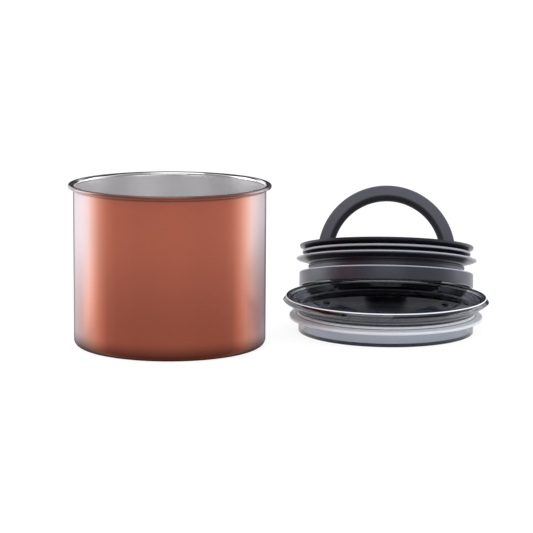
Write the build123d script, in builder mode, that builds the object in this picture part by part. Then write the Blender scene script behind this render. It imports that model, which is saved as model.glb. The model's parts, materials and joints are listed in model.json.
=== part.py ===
from build123d import *
import os
from math import asin, atan, cos, degrees, pi, radians, sin, sqrt, tan

os.makedirs("parts", exist_ok=True)

# Sizes are in millimetres and angles in degrees.
# The canister stands on the table with its axis on Z. Its two lids lie beside it, taken off.

# Canister
can_radius = 60.325
can_height = 101.6
can_wall = 0.65
can_corner = 4.1
rim_overhang = 3.325
rim_roll = 1.15
rim_flare = 1.4
rim_hem = 0.6
bore_radius = can_radius - can_wall
rim_radius = can_radius + rim_overhang

# Outer lid: a clear panel on a hollow plug, with a flange that sits on the canister's rim
plug_clearance = 2.6
lid_height = 22.9
flange_overhang = 3.35
flange_edge = 1.3
flange_drop = 2.75
ridge_inset = 3.0
ridge_round = 0.9
ledge_depth = 2.0
ledge_width = 1.4
groove_shoulder = 0.8
panel_depth = 5.9
panel_thickness = 2.5
panel_slope = 5.4
panel_corner = 3.0
skirt_wall = 2.8
skirt_corner = 1.5
plug_edge = 1.1
groove_base = 8.4
groove_height = 4.2
groove_depth = 1.1
plug_radius = bore_radius - plug_clearance
flange_radius = rim_radius + flange_overhang
ridge_radius = flange_radius - ridge_inset
flange_top = lid_height - flange_drop
groove_radius = plug_radius - groove_depth
cone_start = groove_base + groove_height + groove_shoulder
panel_top = lid_height - panel_depth
panel_under = panel_top - panel_thickness
skirt_radius = plug_radius - skirt_wall

# Outer lid's gasket: one thick soft lip
seal_squeeze = 3.2
seal_lip = 2.6
seal_inset = 0.7
seal_collar = 0.9
seal_waist = 0.35
seal_radius = bore_radius + seal_squeeze

# Where the lids stand
lids_gap = 16.0
lids_bearing = 19.1
lean_turn = 3.0
rest_gap = 0.3
rest_inset = 1.7

# Inner lid, measured along its own axis from its lower edge
band_clearance = 0.275
band_height = 9.2
band_wall = 2.0
band_edge = 0.45
web_depth = 4.4
web_thickness = 2.0
web_margin = 1.4
cup_wall = 1.8
cup_floor = 2.0
cup_inset = 9.2
cup_flange = 1.8
cup_flange_thickness = 1.0
neck_width = 2.6
neck_height = 3.4
band_radius = bore_radius - band_clearance
cup_radius = band_radius - cup_inset
recess_radius = cup_radius - cup_wall
neck_radius = cup_radius + neck_width
web_top = web_depth + web_thickness
neck_top = band_height + neck_height

# Wiper gasket: a top fin, a short lip and a long drooping lip
fin_squeeze = 0.1
lip_shortfall = 2.1
wiper_squeeze = 2.1
sleeve_wall = 2.5
fin_edge = 0.9
fin_depth = 3.4
lip_depth = 5.0
lip_edge = 0.7
lip_height = 2.6
wiper_depth = 9.4
wiper_edge = 0.9
wiper_droop = 2.1
sleeve_gap = 1.2
sleeve_radius = cup_radius + sleeve_wall
fin_radius = bore_radius - fin_squeeze
lip_radius = bore_radius - lip_shortfall
wiper_radius = bore_radius + wiper_squeeze

# Handle, cam axle and bearings
handle_clearance = 1.4
handle_width = 10.5
handle_thickness = 8.0
handle_face = 6.4
handle_ridge = 2.6
handle_round = 0.7
hub_radius = 5.6
axle_depth = 5.5
axle_radius = 2.5
axle_inset = 0.5
running_clearance = 0.05
cam_step = 0.55
cam_width = 5.0
collar_step = 1.2
collar_width = 1.2
collar_gap = 0.3
post_gap = 2.5
post_width = 6.0
cap_lug = 2.2
cap_crown = 1.7
screw_radius = 1.0
screw_head = 1.8
screw_head_height = 1.1
screw_margin = 0.2
screw_length = 8.0
socket_radius = 0.9
socket_depth = 0.6
pin_radius = 0.9
pin_inset = 0.3
handle_radius = recess_radius - handle_clearance
handle_inner = handle_radius - handle_width
post_reach = handle_inner - post_gap - post_width / 2
bearing_radius = axle_radius + running_clearance
crown_radius = bearing_radius + cap_crown
screw_offset = sqrt(crown_radius * crown_radius - cap_lug * cap_lug) + screw_margin + screw_head
post_depth = 2 * (screw_offset + screw_head + screw_margin)
pin_reach = hub_radius - pin_inset

# Valve in the middle of the inner lid, built up from its guard to the cam
guard_base = 4.4
guard_plate = 1.0
guard_wall = 1.2
guard_clearance = 0.8
guard_holes = 12
guard_hole_radius = 1.1
nut_clearance = 0.2
stem_end = 0.1
nut_margin = 1.7
nut_thickness = 0.8
disc_thickness = 1.0
disc_margin = 2.2
seal_disc = 0.8
seal_margin = 0.9
valve_lift = 1.5
seat_gap = 0.15
stem_radius = 1.9
guide_wall = 1.4
guide_gap = 0.6
spring_wire = 0.6
spring_clearance = 1.1
spring_pitch = 1.26
spring_gap = 0.06
spring_room = 3.3
washer_margin = 0.8
washer_thickness = 0.5
follower_margin = 0.9
follower_edge = 1.0
follower_dome = 0.6
follower_bore_depth = 1.1
vent_radius = 1.5
vent_margin = 0.4
vent_count = 8
cam_gap = 0.5
cam_low = axle_radius + cam_step
cam_radius = cam_low + valve_lift
guide_radius = stem_radius + guide_wall
spring_radius = guide_radius + spring_clearance + spring_wire / 2
washer_radius = spring_radius + spring_wire / 2 + washer_margin
follower_radius = spring_radius + spring_wire / 2 + follower_margin
vent_circle = washer_radius + vent_margin + vent_radius
disc_radius = vent_circle + vent_radius + disc_margin
seal_disc_radius = disc_radius + seal_margin
guard_inner = seal_disc_radius + guard_clearance
guard_radius = guard_inner + guard_wall
guard_hole_circle = guard_inner * 2 / 3
stem_base = guard_base + guard_plate + nut_clearance
nut_base = stem_base + stem_end
disc_base = nut_base + nut_thickness
seal_base = disc_base + disc_thickness
floor_base = seal_base + seal_disc + valve_lift + seat_gap
floor_top = floor_base + cup_floor
follower_under = floor_top + washer_thickness + spring_room
follower_top = follower_under + follower_edge + follower_dome
axle_height = follower_top + cam_gap + cam_radius
inner_height = axle_height + axle_depth
flange_under = inner_height - cup_flange_thickness

# How far the inner lid leans, with its rear edge on the table and its valve guard on the outer lid
rest_reach = band_radius + guard_radius - rest_inset
rest_rise = lid_height - rest_gap
rest_drop = guard_base - rest_gap
rest_span = sqrt(rest_reach * rest_reach + rest_drop * rest_drop)
lean = degrees(asin(rest_rise / rest_span) - atan(rest_drop / rest_reach))

# Screws that hold the guide ring under the cup
ring_screw_count = 6
ring_boss_bite = 0.4
ring_boss_radius = 2.6
ring_screw_radius = 1.1
ring_head_radius = 2.1
ring_head_height = 1.2
ring_screw_length = 4.8

overrun = 1.0

# Places of the lids
lids_distance = rim_radius + flange_radius + lids_gap
outer_centre = Vector(lids_distance * cos(radians(lids_bearing)), lids_distance * sin(radians(lids_bearing)), 0)
outer_profile = Plane(origin=outer_centre, x_dir=(1, 0, 0), z_dir=(0, -1, 0))
outer_axis = Axis(outer_centre, (0, 0, 1))

# The inner lid stands on the table on its rear edge, and its valve guard leans on the ridge of
# the outer lid, which reaches into the hollow under the guide ring
lean_way = Vector(sin(radians(lean_turn)), cos(radians(lean_turn)), 0)
lid_up = lean_way * sin(radians(lean)) + Vector(0, 0, cos(radians(lean)))
lid_side = Vector(cos(radians(lean_turn)), -sin(radians(lean_turn)), 0)
rear_reach = ridge_radius + (rest_rise - rest_drop / cos(radians(lean))) / tan(radians(lean))
lid_shift = lean_way * (rear_reach - band_radius * cos(radians(lean)))
lid_origin = outer_centre + lid_shift + Vector(0, 0, rest_gap + band_radius * sin(radians(lean)))
lid_plane = Plane(origin=lid_origin, x_dir=lid_side, z_dir=lid_up)
lid_front = -lid_plane.y_dir
lid_profile = Plane(origin=lid_origin, x_dir=lid_side, z_dir=lid_front)
lid_axis = Axis(lid_origin, lid_up)


def lid_level(height):
    """Plane across the inner lid at a height above its lower edge."""
    return lid_plane.offset(height)


# The axle lies across the lid; its planes look along it, with X to the lid's rear and Y up
axle_centre = lid_origin + lid_up * axle_height


def across_axle(reach):
    """Plane square to the axle at a signed distance from the lid's middle."""
    return Plane(origin=axle_centre + lid_side * reach, x_dir=lid_plane.y_dir, z_dir=lid_side)


# Canister: a drawn shell with a flat base and a rolled rim
with BuildPart() as canister_shell:
    with BuildSketch(Plane.XZ):
        with BuildLine():
            inner_corner = can_corner - can_wall
            Polyline((0, can_wall), (0, 0), (can_radius - can_corner, 0))
            RadiusArc((can_radius - can_corner, 0), (can_radius, can_corner), -can_corner)
            Line((can_radius, can_corner), (can_radius, can_height - rim_flare))
            RadiusArc(
                (can_radius, can_height - rim_flare),
                (bore_radius + rim_flare, can_height - can_wall),
                rim_flare - can_wall,
            )
            Line((bore_radius + rim_flare, can_height - can_wall), (rim_radius - rim_roll, can_height - can_wall))
            ThreePointArc(
                (rim_radius - rim_roll, can_height - can_wall),
                (rim_radius - can_wall, can_height - rim_roll),
                (rim_radius - rim_roll, can_height - 2 * rim_roll + can_wall),
            )
            Polyline(
                (rim_radius - rim_roll, can_height - 2 * rim_roll + can_wall),
                (rim_radius - rim_roll - rim_hem, can_height - 2 * rim_roll + can_wall),
                (rim_radius - rim_roll - rim_hem, can_height - 2 * rim_roll),
                (rim_radius - rim_roll, can_height - 2 * rim_roll),
            )
            ThreePointArc(
                (rim_radius - rim_roll, can_height - 2 * rim_roll),
                (rim_radius, can_height - rim_roll),
                (rim_radius - rim_roll, can_height),
            )
            Line((rim_radius - rim_roll, can_height), (bore_radius + rim_flare, can_height))
            RadiusArc((bore_radius + rim_flare, can_height), (bore_radius, can_height - rim_flare), -rim_flare)
            Line((bore_radius, can_height - rim_flare), (bore_radius, can_corner))
            RadiusArc((bore_radius, can_corner), (bore_radius - inner_corner, can_wall), inner_corner)
            Line((bore_radius - inner_corner, can_wall), (0, can_wall))
        make_face()
    revolve(axis=Axis.Z)
canister_shell.part.label = "canister_shell"
export_step(canister_shell.part, "parts/canister_shell.step")

# Outer lid: shallow panel, stepped ledge, ridge, conical flange and a hollow grooved plug
with BuildPart() as outer_lid:
    with BuildSketch(outer_profile):
        with BuildLine():
            ledge_top = lid_height - ledge_depth
            ledge_outer = ridge_radius - ridge_round - ledge_depth / 2
            panel_radius = ledge_outer - ledge_width - panel_slope
            slope_angle = atan((ledge_top - panel_top) / panel_slope)
            bend = panel_corner * tan(slope_angle / 2)
            bend_start = (panel_radius + bend * cos(slope_angle), panel_top + bend * sin(slope_angle))
            Polyline((0, panel_top), (0, panel_under), (skirt_radius - skirt_corner, panel_under))
            RadiusArc(
                (skirt_radius - skirt_corner, panel_under), (skirt_radius, panel_under - skirt_corner), skirt_corner
            )
            Line((skirt_radius, panel_under - skirt_corner), (skirt_radius, plug_edge))
            RadiusArc((skirt_radius, plug_edge), (skirt_radius + plug_edge, 0), -plug_edge)
            Line((skirt_radius + plug_edge, 0), (plug_radius - plug_edge, 0))
            RadiusArc((plug_radius - plug_edge, 0), (plug_radius, plug_edge), -plug_edge)
            Polyline(
                (plug_radius, plug_edge),
                (plug_radius, groove_base),
                (groove_radius, groove_base),
                (groove_radius, groove_base + groove_height),
                (plug_radius, groove_base + groove_height),
                (plug_radius, cone_start),
                (flange_radius - flange_edge, flange_top - flange_edge),
                (flange_radius, flange_top),
                (ridge_radius + ridge_round, lid_height - ridge_round),
            )
            ThreePointArc(
                (ridge_radius + ridge_round, lid_height - ridge_round),
                (ridge_radius, lid_height),
                (ridge_radius - ridge_round, lid_height - ridge_round),
            )
            Polyline(
                (ridge_radius - ridge_round, lid_height - ridge_round),
                (ledge_outer, ledge_top),
                (ledge_outer - ledge_width, ledge_top),
                bend_start,
            )
            RadiusArc(bend_start, (panel_radius - bend, panel_top), panel_corner)
            Line((panel_radius - bend, panel_top), (0, panel_top))
        make_face()
    revolve(axis=outer_axis)
outer_lid.part.label = "outer_lid"
export_step(outer_lid.part, "parts/outer_lid.step")

# Gasket of the outer lid, seated in the plug's groove
with BuildPart() as outer_lid_gasket:
    with BuildSketch(outer_profile):
        with BuildLine():
            collar_radius_out = plug_radius + seal_collar
            seal_top = groove_base + groove_height
            lip_low = groove_base + seal_inset
            lip_round = seal_lip / 3
            waist = collar_radius_out + seal_collar
            Polyline(
                (groove_radius, seal_top),
                (groove_radius, groove_base),
                (collar_radius_out, groove_base),
                (waist, lip_low + seal_waist),
                (seal_radius - lip_round, lip_low),
            )
            RadiusArc((seal_radius - lip_round, lip_low), (seal_radius, lip_low + lip_round), -lip_round)
            Line((seal_radius, lip_low + lip_round), (seal_radius, lip_low + seal_lip - lip_round))
            RadiusArc(
                (seal_radius, lip_low + seal_lip - lip_round), (seal_radius - lip_round, lip_low + seal_lip), -lip_round
            )
            Polyline(
                (seal_radius - lip_round, lip_low + seal_lip),
                (waist, lip_low + seal_lip - seal_waist),
                (collar_radius_out, seal_top),
                (groove_radius, seal_top),
            )
        make_face()
    revolve(axis=outer_axis)
outer_lid_gasket.part.label = "outer_lid_gasket"
export_step(outer_lid_gasket.part, "parts/outer_lid_gasket.step")

# Inner lid's cup: open recess for the handle, neck and top flange that hold the wiper
ring_screw_circle = recess_radius - ring_boss_radius + ring_boss_bite
post_height = axle_height - floor_top
with BuildPart() as inner_lid_cup:
    with BuildSketch(lid_profile):
        with BuildLine():
            Polyline(
                (0, floor_top),
                (0, floor_base),
                (recess_radius, floor_base),
                (recess_radius, web_top),
                (neck_radius, web_top),
                (neck_radius, neck_top),
                (cup_radius, neck_top),
                (cup_radius, flange_under),
                (cup_radius + cup_flange, flange_under),
                (cup_radius + cup_flange, inner_height),
                (recess_radius, inner_height),
                (recess_radius, floor_top),
                (0, floor_top),
            )
        make_face()
    revolve(axis=lid_axis)
    with BuildSketch(lid_level(web_top)):
        with PolarLocations(ring_screw_circle, ring_screw_count, start_angle=180 / ring_screw_count):
            Circle(ring_boss_radius)
    extrude(amount=floor_base - web_top)
    with BuildSketch(lid_level(floor_top)):
        with Locations((post_reach, 0), (-post_reach, 0)):
            Rectangle(post_width, post_depth)
    extrude(amount=post_height)
    with BuildSketch(lid_level(web_top)):
        with PolarLocations(ring_screw_circle, ring_screw_count, start_angle=180 / ring_screw_count):
            Circle(ring_screw_radius)
    extrude(amount=ring_screw_length - web_thickness, mode=Mode.SUBTRACT)
    with BuildSketch(lid_level(floor_base - overrun)):
        Circle(guide_radius)
        with PolarLocations(vent_circle, vent_count):
            Circle(vent_radius)
    extrude(amount=cup_floor + 2 * overrun, mode=Mode.SUBTRACT)
    with BuildSketch(across_axle(-post_reach - post_width)):
        Circle(bearing_radius)
    extrude(amount=2 * (post_reach + post_width), mode=Mode.SUBTRACT)
    with BuildSketch(lid_level(axle_height)):
        with Locations((post_reach, 0), (-post_reach, 0)):
            with GridLocations(0, 2 * screw_offset, 1, 2):
                Circle(screw_radius)
    extrude(amount=cap_lug - screw_length, mode=Mode.SUBTRACT)
inner_lid_cup.part.label = "inner_lid_cup"
export_step(inner_lid_cup.part, "parts/inner_lid_cup.step")

# Guide ring: the plain band that keeps the lid square in the canister
web_radius = ring_screw_circle - ring_head_radius - web_margin
with BuildPart() as guide_ring:
    with BuildSketch(lid_profile):
        with BuildLine():
            Polyline(
                (band_radius - band_wall, 0),
                (band_radius - band_edge, 0),
                (band_radius, band_edge),
                (band_radius, band_height - band_edge),
                (band_radius - band_edge, band_height),
                (band_radius - band_wall, band_height),
                (band_radius - band_wall, web_top),
                (web_radius, web_top),
                (web_radius, web_depth),
                (band_radius - band_wall, web_depth),
                close=True,
            )
        make_face()
    revolve(axis=lid_axis)
    with BuildSketch(lid_level(web_depth - overrun)):
        with PolarLocations(ring_screw_circle, ring_screw_count, start_angle=180 / ring_screw_count):
            Circle(ring_screw_radius)
    extrude(amount=web_thickness + 2 * overrun, mode=Mode.SUBTRACT)
guide_ring.part.label = "guide_ring"
export_step(guide_ring.part, "parts/guide_ring.step")

# Screws that come up through the guide ring's web
with BuildPart() as ring_screws:
    with BuildSketch(lid_level(web_depth)):
        with PolarLocations(ring_screw_circle, ring_screw_count, start_angle=180 / ring_screw_count):
            Circle(ring_screw_radius)
    extrude(amount=ring_screw_length)
    with BuildSketch(lid_level(web_depth - ring_head_height)):
        with PolarLocations(ring_screw_circle, ring_screw_count, start_angle=180 / ring_screw_count):
            Circle(ring_head_radius)
    extrude(amount=ring_head_height)
    with BuildSketch(lid_level(web_depth - ring_head_height)):
        with PolarLocations(ring_screw_circle, ring_screw_count, start_angle=180 / ring_screw_count):
            RegularPolygon(socket_radius, 6)
    extrude(amount=socket_depth, mode=Mode.SUBTRACT)
ring_screws.part.label = "ring_screws"
export_step(ring_screws.part, "parts/ring_screws.step")

# Wiper gasket round the cup
with BuildPart() as wiper_gasket:
    with BuildSketch(lid_profile):
        with BuildLine():
            fin_under = inner_height - fin_depth
            lip_top = inner_height - lip_depth + lip_edge
            lip_low = lip_top - lip_height
            wiper_tip = inner_height - wiper_depth
            wiper_base = neck_top + 2 * wiper_edge + sleeve_gap
            flange_side = cup_radius + cup_flange
            Polyline(
                (cup_radius, neck_top),
                (sleeve_radius + lip_edge, neck_top),
                (sleeve_radius + lip_edge, neck_top + wiper_edge),
                (sleeve_radius, neck_top + 2 * wiper_edge),
                (sleeve_radius, wiper_base),
                (wiper_radius - wiper_edge / 2, wiper_tip - wiper_edge / 2),
            )
            ThreePointArc(
                (wiper_radius - wiper_edge / 2, wiper_tip - wiper_edge / 2),
                (wiper_radius, wiper_tip),
                (wiper_radius - wiper_edge / 2, wiper_tip + wiper_edge / 2),
            )
            Polyline(
                (wiper_radius - wiper_edge / 2, wiper_tip + wiper_edge / 2),
                (sleeve_radius, wiper_tip + wiper_droop),
                (sleeve_radius + lip_edge, lip_low),
                (lip_radius - lip_edge, lip_top - lip_height / 2),
                (lip_radius, lip_top - lip_edge),
            )
            ThreePointArc(
                (lip_radius, lip_top - lip_edge),
                (lip_radius - lip_edge / 4, lip_top - lip_edge / 4),
                (lip_radius - lip_edge, lip_top),
            )
            Polyline(
                (lip_radius - lip_edge, lip_top),
                (sleeve_radius, fin_under - lip_edge),
                (sleeve_radius + lip_edge, fin_under),
                (fin_radius - fin_depth + fin_edge, fin_under + lip_edge),
                (fin_radius, inner_height - fin_edge),
            )
            RadiusArc(
                (fin_radius, inner_height - fin_edge), (fin_radius - fin_edge, inner_height), -fin_edge
            )
            Polyline(
                (fin_radius - fin_edge, inner_height),
                (flange_side, inner_height),
                (flange_side, flange_under),
                (cup_radius, flange_under),
                (cup_radius, neck_top),
            )
        make_face()
    revolve(axis=lid_axis)
wiper_gasket.part.label = "wiper_gasket"
export_step(wiper_gasket.part, "parts/wiper_gasket.step")

# Handle: half a ring with a bevelled inside, on two hubs
hub_outer = sqrt(handle_radius * handle_radius - hub_radius * hub_radius)
hub_inner = handle_inner
with BuildPart() as handle:
    with BuildSketch(lid_level(axle_height)):
        with BuildLine():
            Polyline(
                (handle_inner, -handle_ridge / 2),
                (handle_radius - handle_face, -handle_thickness / 2),
                (handle_radius - handle_round, -handle_thickness / 2),
                (handle_radius, handle_round - handle_thickness / 2),
                (handle_radius, handle_thickness / 2 - handle_round),
                (handle_radius - handle_round, handle_thickness / 2),
                (handle_radius - handle_face, handle_thickness / 2),
                (handle_inner, handle_ridge / 2),
                close=True,
            )
        make_face()
    revolve(axis=Axis(axle_centre, lid_front), revolution_arc=180)
    for way in (1, -1):
        with BuildSketch(across_axle(way * hub_inner)):
            Circle(hub_radius)
        extrude(amount=way * (hub_outer - hub_inner))
    with BuildSketch(across_axle(-handle_radius)):
        Circle(axle_radius)
    extrude(amount=2 * handle_radius, mode=Mode.SUBTRACT)
    with BuildSketch(lid_level(axle_height - pin_reach)):
        with Locations(((hub_inner + hub_outer) / 2, 0), (-(hub_inner + hub_outer) / 2, 0)):
            Circle(pin_radius)
    extrude(amount=2 * pin_reach, mode=Mode.SUBTRACT)
handle.part.label = "handle"
export_step(handle.part, "parts/handle.step")

# Pins that lock the handle's hubs to the axle
with BuildPart() as handle_pins:
    with BuildSketch(lid_level(axle_height - pin_reach)):
        with Locations(((hub_inner + hub_outer) / 2, 0), (-(hub_inner + hub_outer) / 2, 0)):
            Circle(pin_radius)
    extrude(amount=2 * pin_reach)
handle_pins.part.label = "handle_pins"
export_step(handle_pins.part, "parts/handle_pins.step")


def cam_reach(turn):
    """Cam radius that presses on the follower when the handle is folded by turn degrees."""
    return cam_radius - valve_lift * turn / 90


def cam_point(turn):
    """Point of the cam's edge that faces the follower when the handle is folded by turn degrees."""
    return -cam_reach(turn) * sin(radians(turn)), -cam_reach(turn) * cos(radians(turn))


# Axle with the spiral cam that works the valve, and two collars beside the bearings
collar_reach = post_reach - post_width / 2 - collar_gap - collar_width
with BuildPart() as cam_axle:
    with BuildSketch(across_axle(axle_inset - hub_outer)):
        Circle(axle_radius)
    extrude(amount=2 * (hub_outer - axle_inset))
    with BuildSketch(across_axle(-cam_width / 2)):
        with BuildLine():
            spiral = Spline([cam_point(turn) for turn in (0, 22.5, 45, 67.5, 90)])
            ThreePointArc((-cam_low, 0), (0, cam_low), (cam_low, 0))
            cam_shoulder = (cam_radius * sin(radians(30)), -cam_radius * cos(radians(30)))
            Line((cam_low, 0), cam_shoulder)
            RadiusArc(cam_shoulder, cam_point(0), cam_radius)
        make_face()
    extrude(amount=cam_width)
    for way in (1, -1):
        with BuildSketch(across_axle(way * collar_reach)):
            Circle(axle_radius + collar_step)
        extrude(amount=way * collar_width)
    with BuildSketch(lid_level(axle_height - pin_reach)):
        with Locations(((hub_inner + hub_outer) / 2, 0), (-(hub_inner + hub_outer) / 2, 0)):
            Circle(pin_radius)
    extrude(amount=2 * pin_reach, mode=Mode.SUBTRACT)
cam_axle.part.label = "cam_axle"
export_step(cam_axle.part, "parts/cam_axle.step")


def bearing_cap(reach):
    """Half bearing that closes a post over the axle."""
    with BuildPart() as cap:
        with BuildSketch(across_axle(reach - post_width / 2)):
            with Locations((0, cap_lug / 2)):
                Rectangle(post_depth, cap_lug)
            Circle(crown_radius)
            with Locations((0, -crown_radius)):
                Rectangle(2 * crown_radius, 2 * crown_radius, mode=Mode.SUBTRACT)
            Circle(bearing_radius, mode=Mode.SUBTRACT)
        extrude(amount=post_width)
        with BuildSketch(lid_level(axle_height)):
            with Locations((reach, 0)):
                with GridLocations(0, 2 * screw_offset, 1, 2):
                    Circle(screw_radius)
        extrude(amount=cap_lug + overrun, mode=Mode.SUBTRACT)
    return cap.part


for side, reach in (("right", post_reach), ("left", -post_reach)):
    cap_part = bearing_cap(reach)
    cap_part.label = "bearing_cap_" + side
    export_step(cap_part, "parts/bearing_cap_" + side + ".step")

# Four screws that hold the bearing caps
with BuildPart() as bearing_screws:
    with BuildSketch(lid_level(axle_height + cap_lug - screw_length)):
        with GridLocations(2 * post_reach, 2 * screw_offset, 2, 2):
            Circle(screw_radius)
    extrude(amount=screw_length)
    with BuildSketch(lid_level(axle_height + cap_lug)):
        with GridLocations(2 * post_reach, 2 * screw_offset, 2, 2):
            Circle(screw_head)
    extrude(amount=screw_head_height)
    with BuildSketch(lid_level(axle_height + cap_lug + screw_head_height - socket_depth)):
        with GridLocations(2 * post_reach, 2 * screw_offset, 2, 2):
            RegularPolygon(socket_radius, 6)
    extrude(amount=socket_depth, mode=Mode.SUBTRACT)
bearing_screws.part.label = "bearing_screws"
export_step(bearing_screws.part, "parts/bearing_screws.step")

# Valve: follower, stem, disc, silicone seal and nut, shown open with the handle upright
with BuildPart() as valve_stem:
    with BuildSketch(lid_level(stem_base)):
        Circle(stem_radius)
    extrude(amount=follower_under + follower_bore_depth - stem_base)
valve_stem.part.label = "valve_stem"
export_step(valve_stem.part, "parts/valve_stem.step")

with BuildPart() as valve_follower:
    with BuildSketch(lid_profile):
        with BuildLine():
            Polyline(
                (0, follower_top),
                (0, follower_under),
                (follower_radius, follower_under),
                (follower_radius, follower_under + follower_edge),
            )
            half_dome = follower_radius / 2
            dome_radius = (follower_radius * follower_radius + follower_dome * follower_dome) / (2 * follower_dome)
            dome_drop = dome_radius - sqrt(dome_radius * dome_radius - half_dome * half_dome)
            ThreePointArc(
                (follower_radius, follower_under + follower_edge),
                (half_dome, follower_top - dome_drop),
                (0, follower_top),
            )
        make_face()
    revolve(axis=lid_axis)
    with BuildSketch(lid_level(follower_under)):
        Circle(stem_radius)
    extrude(amount=follower_bore_depth, mode=Mode.SUBTRACT)
valve_follower.part.label = "valve_follower"
export_step(valve_follower.part, "parts/valve_follower.step")

with BuildPart() as valve_disc:
    with BuildSketch(lid_level(disc_base)):
        Circle(disc_radius)
        Circle(stem_radius, mode=Mode.SUBTRACT)
    extrude(amount=disc_thickness)
valve_disc.part.label = "valve_disc"
export_step(valve_disc.part, "parts/valve_disc.step")

with BuildPart() as valve_seal:
    with BuildSketch(lid_level(seal_base)):
        Circle(seal_disc_radius)
        Circle(stem_radius, mode=Mode.SUBTRACT)
    extrude(amount=seal_disc)
valve_seal.part.label = "valve_seal"
export_step(valve_seal.part, "parts/valve_seal.step")

with BuildPart() as valve_nut:
    with BuildSketch(lid_level(nut_base)):
        RegularPolygon(stem_radius + nut_margin, 6)
        Circle(stem_radius, mode=Mode.SUBTRACT)
    extrude(amount=nut_thickness)
valve_nut.part.label = "valve_nut"
export_step(valve_nut.part, "parts/valve_nut.step")

# Bush in the cup's floor that guides the stem
with BuildPart() as valve_guide:
    with BuildSketch(lid_level(floor_base)):
        Circle(guide_radius)
        Circle(stem_radius + running_clearance, mode=Mode.SUBTRACT)
    extrude(amount=follower_under - guide_gap - floor_base)
valve_guide.part.label = "valve_guide"
export_step(valve_guide.part, "parts/valve_guide.step")

# Perforated guard that keeps the beans off the valve disc
with BuildPart() as valve_guard:
    with BuildSketch(lid_level(guard_base)):
        Circle(guard_radius)
    extrude(amount=floor_base - guard_base)
    with BuildSketch(lid_level(guard_base + guard_plate)):
        Circle(guard_inner)
    extrude(amount=floor_base - guard_base, mode=Mode.SUBTRACT)
    with BuildSketch(lid_level(guard_base - overrun)):
        with PolarLocations(guard_hole_circle, guard_holes):
            Circle(guard_hole_radius)
    extrude(amount=guard_plate + 2 * overrun, mode=Mode.SUBTRACT)
valve_guard.part.label = "valve_guard"
export_step(valve_guard.part, "parts/valve_guard.step")

with BuildPart() as spring_washer:
    with BuildSketch(lid_level(floor_top)):
        Circle(washer_radius)
        Circle(guide_radius + running_clearance, mode=Mode.SUBTRACT)
    extrude(amount=washer_thickness)
spring_washer.part.label = "spring_washer"
export_step(spring_washer.part, "parts/spring_washer.step")

# Spring that closes the valve: one helix made of pairs of tangent arcs, four to a turn
spring_base = floor_top + washer_thickness + spring_gap + spring_wire / 2
spring_top = follower_under - spring_gap - spring_wire / 2
spring_quarters = round(4 * (spring_top - spring_base) / spring_pitch)
spring_turns = spring_quarters / 4


def around_lid(along_side, along_rear, along_up):
    """Vector made of its shares along the inner lid's three directions."""
    return lid_side * along_side + lid_plane.y_dir * along_rear + lid_up * along_up


def helix_point(turns):
    """Point of the spring's centre line after a number of turns."""
    angle = 2 * pi * turns
    height = spring_base + (spring_top - spring_base) * turns / spring_turns
    return lid_origin + around_lid(spring_radius * cos(angle), spring_radius * sin(angle), height)


def helix_way(turns):
    """Unit direction of the spring's centre line after a number of turns."""
    angle = 2 * pi * turns
    rise = (spring_top - spring_base) / (2 * pi * spring_turns)
    return around_lid(-spring_radius * sin(angle), spring_radius * cos(angle), rise).normalized()


def biarc_middle(start, start_way, end, end_way):
    """Point where two tangent arcs between two directed points meet, with its direction."""
    chord = end - start
    ways = start_way + end_way
    turn = 2 * (1 - start_way.dot(end_way))
    reach = (sqrt(chord.dot(ways) ** 2 + turn * chord.dot(chord)) - chord.dot(ways)) / turn
    near, far = start + start_way * reach, end - end_way * reach
    return (near + far) * (1 / 2), (far - near).normalized()


with BuildPart() as valve_spring:
    with BuildLine() as spring_line:
        for step in range(spring_quarters):
            start, end = helix_point(step / 4), helix_point((step + 1) / 4)
            start_way, end_way = helix_way(step / 4), helix_way((step + 1) / 4)
            middle, middle_way = biarc_middle(start, start_way, end, end_way)
            TangentArc(start, middle, tangent=start_way)
            TangentArc(middle, end, tangent=middle_way)
    with BuildSketch(Plane(origin=spring_line.line @ 0, z_dir=spring_line.line % 0)):
        Circle(spring_wire / 2)
    sweep(path=spring_line.line)
valve_spring.part.label = "valve_spring"
export_step(valve_spring.part, "parts/valve_spring.step")

# The least gap between turns, measured on points of the helix at least half a turn apart
samples = [helix_point(count / 48) for count in range(round(48 * spring_turns) + 1)]
spring_gap_least = min(
    (samples[first] - samples[second]).length - spring_wire
    for first in range(len(samples))
    for second in range(first + 24, len(samples))
)
print("least gap between the spring's turns:", round(spring_gap_least, 3), "mm")
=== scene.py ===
import json
from math import cos, pi, radians, sin, tan

import bmesh
import bpy
from mathutils import Matrix, Vector


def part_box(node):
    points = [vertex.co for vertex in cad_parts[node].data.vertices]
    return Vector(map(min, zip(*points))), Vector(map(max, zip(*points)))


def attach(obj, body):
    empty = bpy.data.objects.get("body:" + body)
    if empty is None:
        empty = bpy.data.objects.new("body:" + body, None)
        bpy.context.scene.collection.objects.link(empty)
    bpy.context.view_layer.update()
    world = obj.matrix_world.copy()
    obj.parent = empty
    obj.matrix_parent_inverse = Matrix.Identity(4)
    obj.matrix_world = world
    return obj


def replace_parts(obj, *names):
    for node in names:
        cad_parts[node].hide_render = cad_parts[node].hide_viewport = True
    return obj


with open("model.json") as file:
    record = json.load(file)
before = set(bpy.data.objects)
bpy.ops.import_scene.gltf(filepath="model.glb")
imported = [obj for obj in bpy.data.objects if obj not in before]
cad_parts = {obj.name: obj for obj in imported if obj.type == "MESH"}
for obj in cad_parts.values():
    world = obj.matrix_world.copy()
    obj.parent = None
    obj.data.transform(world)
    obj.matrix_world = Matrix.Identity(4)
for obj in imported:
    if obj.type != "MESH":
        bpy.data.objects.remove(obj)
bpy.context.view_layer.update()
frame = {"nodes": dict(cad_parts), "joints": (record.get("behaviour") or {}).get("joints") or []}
print("stage: packed parts loaded,", len(frame["nodes"]), "nodes")

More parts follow.
